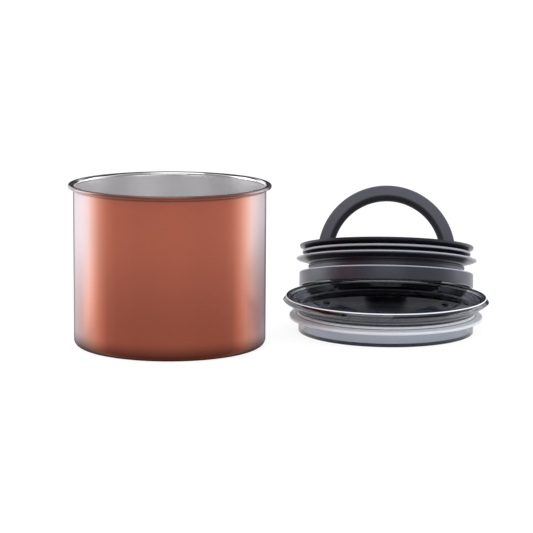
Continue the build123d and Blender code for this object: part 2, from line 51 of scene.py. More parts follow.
mm = 0.001  # the pieces' sizes and the bumps' depths are in mm, all the rest in metres
fullTurn = 2 * pi
smoothAngle = radians(38)
turnedWeld, packedWeld = 0.002 * mm, 0.001 * mm
joints = {joint["name"]: joint for joint in frame["joints"]}


# Places: the canister's axis is the world's, and each lid is built round its own
def middleOf(node):
    low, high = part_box(node)
    return (low + high) / 2


def squareTo(origin, side, up):
    back = up.cross(side)
    return Matrix.Translation(origin) @ Matrix((side, back, up)).transposed().to_4x4()


outerCentre = middleOf("outer_lid")
outerPlace = Matrix.Translation((outerCentre.x, outerCentre.y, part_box("outer_lid")[0].z))
lidUp = Vector(joints["inner_lid_press"]["axis"]).normalized()
lidSide = Vector(joints["handle_fold"]["axis"]).normalized()
axleCentre = Vector(joints["handle_fold"]["pos_m"])
lidFoot = min(vertex.co.dot(lidUp) for vertex in frame["nodes"]["guide_ring"].data.vertices)
axleHeight = axleCentre.dot(lidUp) - lidFoot
innerPlace = squareTo(axleCentre - lidUp * axleHeight, lidSide, lidUp)


# Node trees
def addNode(tree, kind, links=None, **settings):
    node = tree.nodes.new(kind)
    for key, value in settings.items():
        setattr(node, key, value)
    for socket, source in (links or {}).items():
        if isinstance(source, bpy.types.NodeSocket):
            tree.links.new(source, node.inputs[socket])
        else:
            node.inputs[socket].default_value = source
    return node


def reckon(tree, operation, *terms):
    return addNode(tree, "ShaderNodeMath", dict(enumerate(terms)), operation=operation).outputs[0]


def reckonVector(tree, operation, *terms):
    return addNode(tree, "ShaderNodeVectorMath", dict(enumerate(terms)), operation=operation).outputs


def partsOf(tree, spot):
    return addNode(tree, "ShaderNodeSeparateXYZ", {0: spot}).outputs


def newTree(name, inputs):
    tree = bpy.data.node_groups.new(name, "GeometryNodeTree")
    for label, kind, value in inputs:
        socket = tree.interface.new_socket(label, in_out="INPUT", socket_type="NodeSocket" + kind)
        if value is not None:
            socket.default_value = value
    tree.interface.new_socket("Geometry", in_out="OUTPUT", socket_type="NodeSocketGeometry")
    return tree, tree.nodes.new("NodeGroupInput").outputs


def endTree(tree, geometry, material, innerMaterial=None, innerPick=None):
    solid = addNode(tree, "GeometryNodeRealizeInstances", {0: geometry})
    dressed = addNode(tree, "GeometryNodeSetMaterial", {"Geometry": solid.outputs[0], "Material": material})
    if innerPick is not None:
        dressed = addNode(
            tree, "GeometryNodeSetMaterial",
            {"Geometry": dressed.outputs[0], "Selection": innerPick, "Material": innerMaterial},
        )
    ending = tree.nodes.new("NodeGroupOutput")
    tree.links.new(dressed.outputs[0], ending.inputs[0])


def makeLatheTree():
    # turns an outline, drawn as radius and height in X and Z, round the Z axis; its Y carries the mark of where
    # light and shade are painted, and of the wiper's thin lip tips
    tree, given = newTree("turnedRound", [
        ("Geometry", "Geometry", None),
        ("Steps Round", "Int", 192),
        ("Turn", "Float", fullTurn),
        ("Inner From", "Int", 0),
        ("Inner To", "Int", 0),
        ("Finish", "Material", None),
        ("Inner Finish", "Material", None),
    ])
    profile = given["Geometry"]
    size = addNode(tree, "GeometryNodeAttributeDomainSize", {"Geometry": profile}, component="MESH")
    count = size.outputs["Point Count"]
    rows = addNode(tree, "FunctionNodeIntegerMath", {0: given["Steps Round"], 1: 1}, operation="ADD").outputs[0]
    grid = addNode(tree, "GeometryNodeMeshGrid", {"Vertices X": rows, "Vertices Y": count})
    index = tree.nodes.new("GeometryNodeInputIndex").outputs[0]
    along = addNode(tree, "FunctionNodeIntegerMath", {0: index, 1: count}, operation="MODULO").outputs[0]
    column = addNode(tree, "FunctionNodeIntegerMath", {0: index, 1: count}, operation="DIVIDE_FLOOR").outputs[0]
    share = reckon(tree, "DIVIDE", column, given["Steps Round"])
    angle = reckon(tree, "MULTIPLY", share, given["Turn"])
    spot = tree.nodes.new("GeometryNodeInputPosition").outputs[0]
    sample = addNode(
        tree, "GeometryNodeSampleIndex", {"Geometry": profile, "Value": spot, "Index": along},
        data_type="FLOAT_VECTOR", domain="POINT",
    )
    drawn = partsOf(tree, sample.outputs[0])
    x = reckon(tree, "MULTIPLY", drawn["X"], reckon(tree, "COSINE", angle))
    y = reckon(tree, "MULTIPLY", drawn["X"], reckon(tree, "SINE", angle))
    point = addNode(tree, "ShaderNodeCombineXYZ", {0: x, 1: y, 2: drawn["Z"]}).outputs[0]
    shaped = addNode(tree, "GeometryNodeSetPosition", {"Geometry": grid.outputs["Mesh"], "Position": point})
    stored = (("own", point, "FLOAT_VECTOR"), ("paintedLightAndThin", drawn["Y"], "FLOAT"), ("step", along, "FLOAT"))
    for label, value, kind in stored:
        shaped = addNode(
            tree, "GeometryNodeStoreNamedAttribute",
            {"Geometry": shaped.outputs[0], "Name": label, "Value": value}, data_type=kind, domain="POINT",
        )
    closed = addNode(
        tree, "GeometryNodeMergeByDistance", {"Geometry": shaped.outputs[0], "Distance": turnedWeld},
    )
    step = addNode(tree, "GeometryNodeInputNamedAttribute", {"Name": "step"}, data_type="FLOAT").outputs[0]
    after, before = (
        addNode(tree, "FunctionNodeCompare", {0: step, 1: given[end]}, data_type="FLOAT", operation=test)
        for end, test in (("Inner From", "GREATER_THAN"), ("Inner To", "LESS_THAN"))
    )
    inner = addNode(tree, "FunctionNodeBooleanMath", {0: after.outputs[0], 1: before.outputs[0]}, operation="AND")
    endTree(tree, closed.outputs[0], given["Finish"], given["Inner Finish"], inner.outputs[0])
    return tree


latheTree = makeLatheTree()


# Meshes
def addToScene(name, data):
    thing = bpy.data.objects.new(name, data)
    bpy.context.scene.collection.objects.link(thing)
    return thing


def addTree(piece, tree, values):
    modifier = piece.modifiers.new(tree.name, "NODES")
    modifier.node_group = tree
    for item in tree.interface.items_tree:
        if item.in_out == "INPUT" and item.name in values:
            modifier[item.identifier] = values[item.name]


def settle(piece):
    # the evaluated mesh becomes the piece's own, and the modifiers go
    graph = bpy.context.evaluated_depsgraph_get()
    mesh = bpy.data.meshes.new_from_object(piece.evaluated_get(graph), depsgraph=graph)
    piece.modifiers.clear()
    piece.data = mesh


def outwards(mesh):
    shell = bmesh.new()
    shell.from_mesh(mesh)
    if shell.calc_volume(signed=True) < 0:
        bmesh.ops.reverse_faces(shell, faces=shell.faces)
    shell.to_mesh(mesh)
    shell.free()


def softOutline(corners, arcSteps=6, closed=False):
    # corners are (radius, height, rounding, mark of painted light and shade); gives points in metres and each
    # corner's first index
    mostOfSide = 0.49  # share of the shorter side that a rounding may take
    corners = [(*corner, 0)[:4] for corner in corners]
    spots = [Vector((radius, height)) for radius, height, _, _ in corners]
    points, starts = [], []
    for number, (spot, (_, _, rounding, paintedLightAndThin)) in enumerate(zip(spots, corners)):
        starts.append(len(points))
        before = spots[number - 1] if number or closed else None
        after = spots[(number + 1) % len(spots)] if number + 1 < len(spots) or closed else None
        if not rounding or before is None or after is None:
            points.append((spot, paintedLightAndThin))
            continue
        back, ahead = before - spot, after - spot
        room = mostOfSide * min(back.length, ahead.length)
        back.normalize()
        ahead.normalize()
        half = back.angle(ahead) / 2
        reach = min(rounding / tan(half), room)
        bend = reach * tan(half)
        centre = spot + (back + ahead).normalized() * (bend / sin(half))
        first = spot + back * reach - centre
        last = spot + ahead * reach - centre
        whole = first.angle(last)
        for step in range(arcSteps + 1):
            share = step / arcSteps
            spoke = (first * sin((1 - share) * whole) + last * sin(share * whole)) / sin(whole)
            points.append((centre + spoke, paintedLightAndThin))
    if closed:
        points.append(points[0])
    return [(spot.x * mm, paintedLightAndThin, spot.y * mm) for spot, paintedLightAndThin in points], starts


def turned(name, corners, place, values, arcSteps=6, closed=False, innerCorners=None, innerSkip=0):
    # the inner finish goes from the first to the last of innerCorners, less innerSkip points at its start
    points, starts = softOutline(corners, arcSteps, closed)
    mesh = bpy.data.meshes.new(name)
    mesh.from_pydata(points, [(number, number + 1) for number in range(len(points) - 1)], [])
    piece = addToScene(name, mesh)
    if innerCorners:
        values = {**values, "Inner From": starts[innerCorners[0]] + innerSkip, "Inner To": starts[innerCorners[1]]}
    addTree(piece, latheTree, values)
    settle(piece)
    outwards(piece.data)
    piece.data.transform(place)
    piece.data.set_sharp_from_angle(angle=smoothAngle)
    return piece


# Materials
def newFinish(name, fixed):
    material = bpy.data.materials.new(name)
    material.use_nodes = True
    tree = material.node_tree
    shader = tree.nodes["Principled BSDF"]
    for socket, value in fixed.items():
        shader.inputs[socket].default_value = value
    return material, tree, shader


def ownSpot(tree):
    # where a point of a turned piece lies round its own axis
    return addNode(tree, "ShaderNodeAttribute", attribute_name="own").outputs["Vector"]


def objectSpot(tree):
    return tree.nodes.new("ShaderNodeTexCoord").outputs["Object"]


def paintedLightAndThinOf(tree):
    # the fourth number of the corners, which marks painted light and shade, blended along the outline
    return addNode(tree, "ShaderNodeAttribute", attribute_name="paintedLightAndThin").outputs["Fac"]


def noiseOf(tree, spot, scale, detail=2.0, stretch=(1, 1, 1), roughness=0.5):
    # stretch is below 1 where the pattern runs long
    placed = addNode(tree, "ShaderNodeMapping", {"Vector": spot, "Scale": stretch})
    noise = addNode(
        tree, "ShaderNodeTexNoise",
        {"Vector": placed.outputs[0], "Scale": scale, "Detail": detail, "Roughness": roughness},
    )
    return noise.outputs["Fac"]


def spread(tree, value, low, high):
    return addNode(tree, "ShaderNodeMapRange", {"Value": value, "To Min": low, "To Max": high}).outputs[0]


def mapRange(tree, value, source, target):
    ranged = addNode(
        tree, "ShaderNodeMapRange",
        {"Value": value, "From Min": source[0], "From Max": source[1], "To Min": target[0], "To Max": target[1]},
        interpolation_type="SMOOTHSTEP",
    )
    return ranged.outputs[0]


def blendValue(tree, share, first, second):
    return addNode(tree, "ShaderNodeMix", {0: share, 2: first, 3: second}, data_type="FLOAT").outputs[0]


def blendColour(tree, share, first, second):
    mixed = addNode(tree, "ShaderNodeMix", {"Factor": share}, data_type="RGBA")
    for socket, colour in (("A", first), ("B", second)):
        place = next(item for item in mixed.inputs if item.name == socket and item.type == "RGBA")
        if isinstance(colour, bpy.types.NodeSocket):
            tree.links.new(colour, place)
        else:
            place.default_value = (*colour, 1)
    return next(item for item in mixed.outputs if item.type == "RGBA")


def toned(tree, colour, share):
    return addNode(tree, "ShaderNodeVectorMath", {0: colour, "Scale": share}, operation="SCALE").outputs[0]


def bumpOf(tree, height, look):
    reach = {"Height": height, "Strength": look["bump"], "Distance": look["depth"] * mm}
    return addNode(tree, "ShaderNodeBump", reach).outputs[0]


def brushedRound(tree, spot, scale):
    # fine lines that run round the axis, drawn on the distance from it and on the height, under coarse streaks
    coarser = 40
    parts = partsOf(tree, spot)
    flat = addNode(tree, "ShaderNodeCombineXYZ", {0: parts[0], 1: parts[1]}).outputs[0]
    reach = reckonVector(tree, "LENGTH", flat)["Value"]
    lines = addNode(tree, "ShaderNodeCombineXYZ", {0: reach, 1: parts[2]}).outputs[0]
    fine = noiseOf(tree, lines, scale, detail=3.0)
    return reckon(tree, "MULTIPLY", fine, noiseOf(tree, spot, scale / coarser))


def facingOf(tree):
    # 0 where the surface is seen square on, 1 where it is seen edge on
    return addNode(tree, "ShaderNodeLayerWeight", {"Blend": 0.5}).outputs["Facing"]


def facingRamp(tree, stops):
    # a colour painted by how squarely the surface is seen, from square on to edge on: painted sheen and painted
    # dark edges
    ramp = addNode(tree, "ShaderNodeValToRGB", {"Fac": facingOf(tree)})
    marks = ramp.color_ramp.elements
    while len(marks) < len(stops):
        marks.new(1.0)
    for mark, (place, colour) in zip(marks, stops):
        mark.position, mark.color = place, (*colour, 1)
    return ramp.outputs["Color"]


def polished(tree, spot, rough, look):
    # the rim's roll is smoother than the walls
    share = mapRange(tree, partsOf(tree, spot)["Z"], look["polish"], (0, 1))
    return blendValue(tree, share, rough, look["polished"])


def copperFinish():
    # painted light and shade: the colour is painted paler where it is seen edge on, with a painted dark edge at
    # the outline, and darker and redder towards the foot; the rim's roll, the line under it, the foot and the sole
    # are darkened as painted shade
    look = {
        "stops": (
            (0.0, (0.66, 0.178, 0.104)), (0.19, (0.70, 0.19, 0.113)), (0.26, (0.75, 0.225, 0.137)),
            (0.33, (0.80, 0.305, 0.207)), (0.41, (0.87, 0.45, 0.355)), (0.48, (0.86, 0.60, 0.56)),
            (0.61, (0.81, 0.675, 0.69)), (0.80, (0.77, 0.70, 0.73)), (0.89, (0.26, 0.20, 0.21)),
        ),
        "footShadeStops": (
            (0.0, (0.49, 0.126, 0.0735)), (0.19, (0.52, 0.133, 0.078)), (0.26, (0.57, 0.152, 0.09)),
            (0.33, (0.85, 0.245, 0.145)), (0.41, (1.0, 0.40, 0.27)), (0.48, (0.95, 0.43, 0.32)),
            (0.61, (0.66, 0.39, 0.36)), (0.80, (0.58, 0.45, 0.47)), (0.89, (0.26, 0.18, 0.18)),
        ),
        "footShadeHeights": (0.018, 0.080), "rimShade": ((0.0974, 0.0986), (1, 0.5)), "footShade": ((0, 0.012), (0.24, 1)),
        "soleShade": ((0.0004, 0.0018), (0.06, 1)), "roughness": (0.27, 0.31),
        "polish": (0.0980, 0.0990), "polished": 0.07, "dullFacing": (0.42, 0.72), "dull": 0.55,
        "streak": (0.90, 1.05), "streaks": 34.0, "streakStretch": (1, 1, 0.02),
        "cloud": (0.93, 1.04), "clouds": 14.0, "brush": 2600.0, "bump": 0.006, "depth": 0.02,
        "fixed": {"Metallic": 0.74},
    }
    material, tree, shader = newFinish("copperLacquer", look["fixed"])
    spot = ownSpot(tree)
    streaks = noiseOf(tree, spot, look["streaks"], stretch=look["streakStretch"])
    clouds = noiseOf(tree, spot, look["clouds"])
    height = partsOf(tree, spot)["Z"]
    light = spread(tree, streaks, *look["streak"])
    for tone in (
        spread(tree, clouds, *look["cloud"]), mapRange(tree, height, *look["rimShade"]),
        mapRange(tree, height, *look["footShade"]), mapRange(tree, height, *look["soleShade"]),
    ):
        light = reckon(tree, "MULTIPLY", light, tone)
    high = mapRange(tree, height, look["footShadeHeights"], (0, 1))
    paintedSheen = blendColour(tree, high, facingRamp(tree, look["footShadeStops"]), facingRamp(tree, look["stops"]))
    tree.links.new(toned(tree, paintedSheen, light), shader.inputs["Base Color"])
    lines = brushedRound(tree, spot, look["brush"])
    dull = mapRange(tree, facingOf(tree), look["dullFacing"], (0, 1))
    rough = blendValue(tree, dull, spread(tree, lines, *look["roughness"]), look["dull"])
    tree.links.new(polished(tree, spot, rough, look), shader.inputs["Roughness"])
    tree.links.new(bumpOf(tree, lines, look), shader.inputs["Normal"])
    return material


brightSteel = {
    "colour": (0.96, 0.945, 0.955), "shade": (0.90, 0.885, 0.895), "roughness": (0.34, 0.44),
    "fixed": {"Metallic": 1.0}, "brush": 4200.0, "bump": 0.2, "depth": 0.02, "grain": 900.0,
    "polish": (0.0988, 0.0996), "polished": 0.06, "floorShade": ((0.002, 0.012), (0.62, 1)),
}
blackenedSteel = {
    **brightSteel, "colour": (0.15, 0.15, 0.17), "shade": (0.11, 0.11, 0.13), "roughness": (0.40, 0.52),
}


def steelFinish(name, look, turnedPiece):
    material, tree, shader = newFinish(name, look["fixed"])
    spot = ownSpot(tree) if turnedPiece else objectSpot(tree)
    if turnedPiece:
        lines = brushedRound(tree, spot, look["brush"])
    else:
        lines = noiseOf(tree, spot, look["grain"], detail=3.0)
    colour = blendColour(tree, lines, look["colour"], look["shade"])
    rough = spread(tree, lines, *look["roughness"])
    if turnedPiece:
        colour = toned(tree, colour, mapRange(tree, partsOf(tree, spot)["Z"], *look["floorShade"]))
        rough = polished(tree, spot, rough, look)
    tree.links.new(colour, shader.inputs["Base Color"])
    tree.links.new(rough, shader.inputs["Roughness"])
    tree.links.new(bumpOf(tree, lines, look), shader.inputs["Normal"])
    return material


def clearFinish():
    # clear when seen square on, with a painted dark reflection where it is seen edge on, and painted shade where
    # the corners' fourth number marks it
    look = {
        "stops": (
            (0.0, (0.84, 0.88, 0.95)), (0.50, (0.82, 0.85, 0.92)), (0.66, (0.44, 0.46, 0.53)),
            (0.79, (0.05, 0.055, 0.075)), (1.0, (0.008, 0.01, 0.016)),
        ),
        "paintedShade": (0.012, 0.013, 0.02), "roughness": (0.0, 0.02),
        "fixed": {"Transmission Weight": 1.0, "IOR": 1.57}, "smears": 60.0,
    }
    material, tree, shader = newFinish("clearPlastic", look["fixed"])
    colour = blendColour(tree, paintedLightAndThinOf(tree), facingRamp(tree, look["stops"]), look["paintedShade"])
    tree.links.new(colour, shader.inputs["Base Color"])
    smears = noiseOf(tree, ownSpot(tree), look["smears"], detail=3.0)
    tree.links.new(spread(tree, smears, *look["roughness"]), shader.inputs["Roughness"])
    return material


def milkyFinish(name, turnedPiece):
    # the fourth corner number marks painted shade in the fold at the root of the lip
    look = {
        "colour": (0.94, 0.965, 1.0), "shade": (0.89, 0.92, 0.98), "root": (0.10, 0.11, 0.14),
        "roughness": (0.3, 0.42),
        "fixed": {
            "Transmission Weight": 0.12, "IOR": 1.41, "Subsurface Weight": 0.4, "Subsurface Scale": 0.003,
            "Subsurface Radius": (1.0, 1.0, 1.0),
        },
        "clouds": 220.0,
    }
    material, tree, shader = newFinish(name, look["fixed"])
    spot = ownSpot(tree) if turnedPiece else objectSpot(tree)
    clouds = noiseOf(tree, spot, look["clouds"], detail=3.0)
    body = blendColour(tree, clouds, look["colour"], look["shade"])
    tree.links.new(blendColour(tree, paintedLightAndThinOf(tree), body, look["root"]), shader.inputs["Base Color"])
    tree.links.new(spread(tree, clouds, *look["roughness"]), shader.inputs["Roughness"])
    return material


def paintedEdgeFinish(name, look):
    # the fourth corner number gives an edge a painted colour: a highlight on the silicone lips and the band's top
    # edge, partly the real translucency of the thin lip tips, and shade on the handle's bevels and inner face
    material, tree, shader = newFinish(name, look["fixed"])
    fade = reckon(tree, "POWER", paintedLightAndThinOf(tree), look["fade"])
    spot = ownSpot(tree)
    clouds = noiseOf(tree, spot, look["clouds"])
    body = blendColour(tree, clouds, look["colour"], look["shade"])
    tree.links.new(blendColour(tree, fade, body, look["lip"]), shader.inputs["Base Color"])
    tree.links.new(spread(tree, fade, 0, look["through"]), shader.inputs["Transmission Weight"])
    grain = noiseOf(tree, spot, look["grain"], detail=3.0, roughness=0.6)
    tree.links.new(spread(tree, grain, *look["roughness"]), shader.inputs["Roughness"])
    tree.links.new(bumpOf(tree, grain, look), shader.inputs["Normal"])
    return material


def plasticFinish(name, look, turnedPiece):
    material, tree, shader = newFinish(name, look["fixed"])
    spot = ownSpot(tree) if turnedPiece else objectSpot(tree)
    grain = noiseOf(tree, spot, look["grain"], detail=3.0, roughness=0.6)
    clouds = noiseOf(tree, spot, look["clouds"])
    colour = blendColour(tree, clouds, look["colour"], look["shade"])
    # seen from within the clear lid the painted highlight line is painted dark
    if "inside" in look:  # the colour seen from within the clear lid
        within = tree.nodes.new("ShaderNodeNewGeometry").outputs["Backfacing"]
        colour = blendColour(tree, within, colour, look["inside"])
    tree.links.new(colour, shader.inputs["Base Color"])
    tree.links.new(spread(tree, grain, *look["roughness"]), shader.inputs["Roughness"])
    tree.links.new(bumpOf(tree, grain, look), shader.inputs["Normal"])
    return material


blackPlastic = {
    "colour": (0.026, 0.026, 0.036), "shade": (0.034, 0.034, 0.046), "roughness": (0.30, 0.42),
    "fixed": {"IOR": 1.5, "Specular IOR Level": 0.65, "Specular Tint": (0.86, 0.88, 1.0, 1)},
    "grain": 2600.0, "clouds": 40.0, "bump": 0.1, "depth": 0.02,
}
# the lip colours below are painted: highlights on the silicone lips and the band's top edge, and shade on the
# handle's bevels
blackSilicone = {
    "colour": (0.012, 0.012, 0.018), "shade": (0.020, 0.019, 0.027), "lip": (0.74, 0.75, 0.84), "fade": 8.0,
    "through": 0.35, "roughness": (0.28, 0.38), "fixed": {"IOR": 1.45, "Specular Tint": (0.86, 0.88, 1.0, 1)},
    "grain": 1800.0, "clouds": 55.0, "bump": 0.06, "depth": 0.02,
}
bandPlastic = {
    "colour": (0.034, 0.034, 0.046), "shade": (0.044, 0.044, 0.058), "lip": (0.50, 0.51, 0.60), "fade": 1.6,
    "through": 0.0, "roughness": (0.24, 0.34),
    "fixed": {"IOR": 1.5, "Specular IOR Level": 0.65, "Specular Tint": (0.86, 0.88, 1.0, 1)},
    "grain": 2600.0, "clouds": 40.0, "bump": 0.08, "depth": 0.02,
}
greyPlastic = {
    "colour": (0.078, 0.079, 0.098), "shade": (0.100, 0.101, 0.124), "lip": (0.020, 0.020, 0.027), "fade": 0.8,
    "through": 0.0, "roughness": (0.50, 0.68),
    "fixed": {"IOR": 1.5, "Specular IOR Level": 0.5, "Specular Tint": (0.88, 0.90, 1.0, 1)},
    "grain": 2300.0, "clouds": 120.0, "bump": 0.55, "depth": 0.06,
}
# a painted highlight: the white line along the clear lid's ridge
ridgeHighlight = {
    "colour": (0.90, 0.93, 1.0), "shade": (0.85, 0.88, 0.95), "inside": (0.012, 0.013, 0.02),
    "roughness": (0.28, 0.36), "fixed": {"IOR": 1.5}, "grain": 2400.0, "clouds": 70.0, "bump": 0.05, "depth": 0.01,
}
paleAcetal = {
    "colour": (0.72, 0.72, 0.69), "shade": (0.64, 0.64, 0.61), "roughness": (0.34, 0.46),
    "fixed": {"IOR": 1.48}, "grain": 2400.0, "clouds": 70.0, "bump": 0.08, "depth": 0.02,
}
finishes = {
    "copper": copperFinish(),
    "canisterSteel": steelFinish("canisterSteel", brightSteel, True),
    "smallSteel": steelFinish("smallSteel", brightSteel, False),
    "blackScrew": steelFinish("blackenedSteel", blackenedSteel, False),
    "clear": clearFinish(),
    "paintedRidgeLine": plasticFinish("ridgeHighlight", ridgeHighlight, True),
    "milky": milkyFinish("milkySilicone", True),
    "valveMilky": milkyFinish("valveSilicone", False),
    "black": plasticFinish("blackPlastic", blackPlastic, False),
    "band": paintedEdgeFinish("bandPlastic", bandPlastic),
    "wiper": paintedEdgeFinish("blackSilicone", blackSilicone),
    "grey": paintedEdgeFinish("greyPlastic", greyPlastic),
    "pale": plasticFinish("paleAcetal", paleAcetal, False),
}
print("stage: finishes made")


# Canister: copper lacquer outside, bare steel inside and on the rim's top
canister = {
    "radius": 60.325, "height": 101.6, "wall": 0.65, "corner": 4.1, "rim": 63.62, "roll": 1.15, "flare": 2.2,
    "hem": 0.6, "hemRound": 0.15, "arcSteps": 10, "steps": 288,
}


def buildCanister():
    size = canister
    bore = size["radius"] - size["wall"]
    top, low = size["height"], size["height"] - 2 * size["roll"]
    hem = size["rim"] - size["roll"] - size["hem"]
    corners = [
        (0, size["wall"], 0),
        (bore, size["wall"], size["corner"] - size["wall"]),
        (bore, top, size["flare"]),
        (size["rim"], top, size["roll"]),
        (size["rim"], low, size["roll"]),
        (hem, low, size["hemRound"]),
        (hem, low + size["wall"], size["hemRound"]),
        (size["rim"] - size["wall"], low + size["wall"], size["roll"] - size["wall"]),
        (size["rim"] - size["wall"], top - size["wall"], size["roll"] - size["wall"]),
        (size["radius"], top - size["wall"], size["flare"] - size["wall"]),
        (size["radius"], 0, size["corner"]),
        (0, 0, 0),
    ]
    values = {
        "Steps Round": size["steps"], "Finish": finishes["copper"], "Inner Finish": finishes["canisterSteel"],
    }
    upright = Matrix.Identity(4)
    piece = turned("canister", corners, upright, values, arcSteps=size["arcSteps"], innerCorners=(0, 3))
    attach(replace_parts(piece, "canister_shell"), "canister")


buildCanister()
print("stage: canister")

# Outer lid: the fourth number of a corner is how much painted shade darkens the clear plastic there
outerLid = {
    "plug": 57.075, "flange": 67.0, "height": 22.9, "drop": 2.75, "edge": 1.3,
    "ridge": 64.0, "ridgeRound": 0.9, "ridgeSoft": 0.72, "ledgeDrop": 2.0, "ledgeWidth": 1.4,
    "slope": 5.4, "slopeSteps": ((0.41, 0.50), (0.70, 0.75)), "slopeStep": 0.5,
    "panelDrop": 5.9, "panel": 2.5, "bend": 3.0, "wall": 2.8, "corner": 1.5, "foot": 1.1,
    "groove": 8.4, "grooveHeight": 4.2, "grooveDepth": 1.1, "coneStart": 13.5, "coneFade": (0.72, 0.80),
    "paintedShade": 0.92, "coneShade": 0.45, "flangeEdgeShade": 0.4, "footLineShade": 0.6, "lineShare": 0.21, "lineSkip": 3,
    "footBand": 1.9, "footLine": 1.1, "footFade": 0.25, "soft": 0.25, "arcSteps": 8, "steps": 288,
}


def buildOuterLid():
    size = outerLid
    soft, paintedShade = size["soft"], size["paintedShade"]
    skirt = size["plug"] - size["wall"]
    panel = size["height"] - size["panelDrop"]
    groove = size["plug"] - size["grooveDepth"]
    grooveTop = size["groove"] + size["grooveHeight"]
    flangeTop = size["height"] - size["drop"]
    ledge = size["height"] - size["ledgeDrop"]
    ledgeOuter = size["ridge"] - size["ridgeRound"] - size["ledgeDrop"] / 2
    panelEdge = ledgeOuter - size["ledgeWidth"] - size["slope"]
    shoulder = Vector((size["ridge"] + size["ridgeRound"], size["height"]))
    flangeEdge = Vector((size["flange"], flangeTop))
    coneTop = Vector((size["flange"] - size["edge"], flangeTop - size["edge"]))
    coneFoot = Vector((size["plug"], size["coneStart"]))
    fadeStart, fadeEnd = (coneTop.lerp(coneFoot, share) for share in size["coneFade"])
    brightLine = (*shoulder, size["ridgeSoft"], paintedShade)
    corners = [
        (0, panel, 0),
        (panelEdge - size["bend"] - size["footFade"], panel, 0),
        (panelEdge - size["bend"], panel, 0, paintedShade),
        (panelEdge, panel, size["bend"], paintedShade),
    ]
    for across, up in size["slopeSteps"]:
        spot = (panelEdge + across * size["slope"], panel + up * (ledge - panel))
        corners += [(*spot, soft, paintedShade), (spot[0] + size["slopeStep"], spot[1], soft, paintedShade)]
    corners += [
        (ledgeOuter - size["ledgeWidth"], ledge, soft, paintedShade),
        (ledgeOuter, ledge, soft, paintedShade / 2),
        (size["ridge"] - size["ridgeRound"], size["height"], size["ridgeSoft"], paintedShade),
        brightLine,
        (*shoulder.lerp(flangeEdge, size["lineShare"]), 0, paintedShade),
        (*flangeEdge, soft, size["flangeEdgeShade"]),
        (*coneTop, soft, size["coneShade"]),
        (*fadeStart, 0, size["coneShade"]),
        (*fadeEnd, 0),
        (*coneFoot, 0),
        (size["plug"], size["coneStart"] - soft, 0, 1),
        (size["plug"], grooveTop, soft, 1),
        (groove, grooveTop, soft),
        (groove, size["groove"], soft),
        (size["plug"], size["groove"], soft),
        (size["plug"], size["footBand"] + size["footFade"], 0),
        (size["plug"], size["footBand"], 0, 1),
        (size["plug"], size["footLine"], 0, size["footLineShade"]),
        (size["plug"], 0, size["foot"] / 2, 1),
        (skirt, 0, size["foot"] / 2, 1),
        (skirt, size["footBand"], 0, 1),
        (skirt, size["footBand"] + size["footFade"], 0),
        (skirt, panel - size["panel"], size["corner"]),
        (0, panel - size["panel"], 0),
    ]
    values = {"Steps Round": size["steps"], "Finish": finishes["clear"], "Inner Finish": finishes["paintedRidgeLine"]}
    line = corners.index(brightLine)  # the painted highlight line along the ridge starts here
    piece = turned(
        "clearLid", corners, outerPlace, values,
        arcSteps=size["arcSteps"], innerCorners=(line, line + 1), innerSkip=size["lineSkip"],
    )
    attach(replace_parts(piece, "outer_lid"), "clear_lid")


# Its gasket, in the plug's groove, with one thick lip and a fold above it with painted shade
lidGasket = {
    "reach": 62.875, "lip": 2.0, "inset": 0.05, "collar": 0.9, "waist": 0.35, "collarRise": 0.4,
    "fold": 0.15, "foldRise": 0.9, "foldFade": 0.5, "foldShade": 0.9,
    "seatRound": 0.1, "collarRound": 0.3, "waistRound": 0.4, "lipRound": 0.9, "foldRound": 0.15, "steps": 240,
}


def buildLidGasket():
    size = lidGasket
    plug, grooveFoot = outerLid["plug"], outerLid["groove"]
    groove = plug - outerLid["grooveDepth"]
    grooveTop = grooveFoot + outerLid["grooveHeight"]
    collar = plug + size["collar"]
    waist = collar + size["collar"]
    low = grooveFoot + size["inset"]
    high = low + size["lip"]
    fold = high + size["foldRise"]
    corners = [
        (groove, grooveTop, size["seatRound"]),
        (groove, grooveFoot, size["seatRound"]),
        (collar, grooveFoot, size["collarRound"]),
        (waist, low + size["waist"], size["waistRound"]),
        (size["reach"], low, size["lipRound"]),
        (size["reach"], high, size["lipRound"]),
        (waist, fold - size["waist"], size["waistRound"]),
        (collar + size["fold"], fold, size["foldRound"], size["foldShade"]),
        (collar, fold + size["foldFade"], 0),
        (collar, grooveTop + size["collarRise"], size["collarRound"]),
        (plug + size["inset"], grooveTop + size["collarRise"], 0),
        (plug + size["inset"], grooveTop, 0),
    ]
    values = {"Steps Round": size["steps"], "Finish": finishes["milky"]}
    piece = turned("lidGasket", corners, outerPlace, values, closed=True)
    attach(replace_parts(piece, "outer_lid_gasket"), "clear_lid")


buildOuterLid()
buildLidGasket()
print("stage: outer lid")

# Inner lid: heights are measured from its lower edge, along its own axis
guideRing = {
    "radius": 59.4, "height": 9.2, "wall": 2.0, "edge": 0.45, "line": 1.0,
    "web": 4.4, "webThickness": 2.0, "webHole": 39.5, "soft": 0.3, "steps": 240,
}


